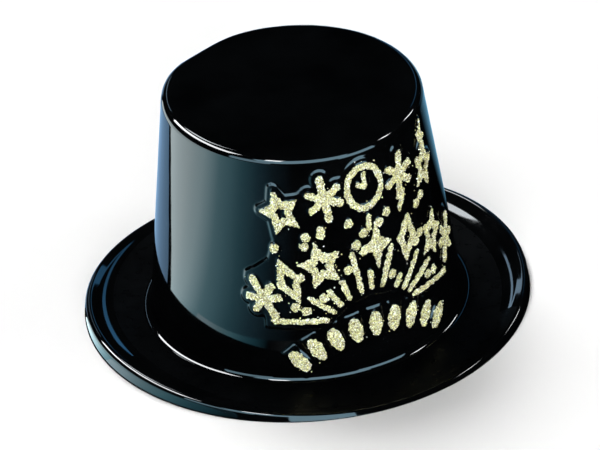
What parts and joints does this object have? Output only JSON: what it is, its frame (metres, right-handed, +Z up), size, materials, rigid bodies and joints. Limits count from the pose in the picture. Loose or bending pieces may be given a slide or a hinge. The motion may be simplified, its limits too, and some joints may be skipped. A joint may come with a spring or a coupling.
{
  "type": "party top hat",
  "caption": "Glossy moulded plastic top hat with an upturned brim and a raised glitter pattern of stars, bursts and rays on the front of the crown.",
  "frame": {"origin": "centre of the hat on the plane of the brim's trim edge, which it stands on", "axes": "+Z up through the tip, the decorated front of the crown faces -Y, +X towards the wearer's left"},
  "size_m": [0.2804, 0.2804, 0.1508],
  "materials": {
    "shell_plastic": "very glossy black thermoformed sheet plastic",
    "glitter": "pale gold loose glitter flakes set in clear glue, rough and sparkling"
  },
  "bodies": {
    "root": {"hat_shell": "shell_plastic", "glitter_dots_01": "glitter", "glitter_dots_02": "glitter", "glitter_dots_03": "glitter", "glitter_dots_04": "glitter", "glitter_dots_05": "glitter", "glitter_dots_06": "glitter", "glitter_dots_07": "glitter", "glitter_dots_08": "glitter", "glitter_dots_09": "glitter", "glitter_dots_10": "glitter", "glitter_dots_11": "glitter", "glitter_dots_12": "glitter", "glitter_dots_13": "glitter", "glitter_dots_14": "glitter", "glitter_drop_1": "glitter", "glitter_drop_2": "glitter", "glitter_drop_3": "glitter", "glitter_drop_4": "glitter", "glitter_drop_5": "glitter", "glitter_drop_6": "glitter", "glitter_drop_7": "glitter", "glitter_drop_8": "glitter", "glitter_drop_9": "glitter", "glitter_low_1_burst": "glitter", "glitter_low_2_lozenge": "glitter", "glitter_low_3_star": "glitter", "glitter_low_4_twinkle": "glitter", "glitter_low_5_lozenge": "glitter", "glitter_low_6_star": "glitter", "glitter_low_7_burst": "glitter", "glitter_ray_01": "glitter", "glitter_ray_02": "glitter", "glitter_ray_03": "glitter", "glitter_ray_04": "glitter", "glitter_ray_05": "glitter", "glitter_ray_06": "glitter", "glitter_ray_07": "glitter", "glitter_ray_08": "glitter", "glitter_ray_09": "glitter", "glitter_ray_10": "glitter", "glitter_ray_11": "glitter", "glitter_spark": "glitter", "glitter_streak_1": "glitter", "glitter_streak_2": "glitter", "glitter_streak_3": "glitter", "glitter_top_1_star": "glitter", "glitter_top_2_burst": "glitter", "glitter_top_3_clock": "glitter", "glitter_top_4_burst": "glitter", "glitter_top_5_star": "glitter"}
  },
  "joints": []
}
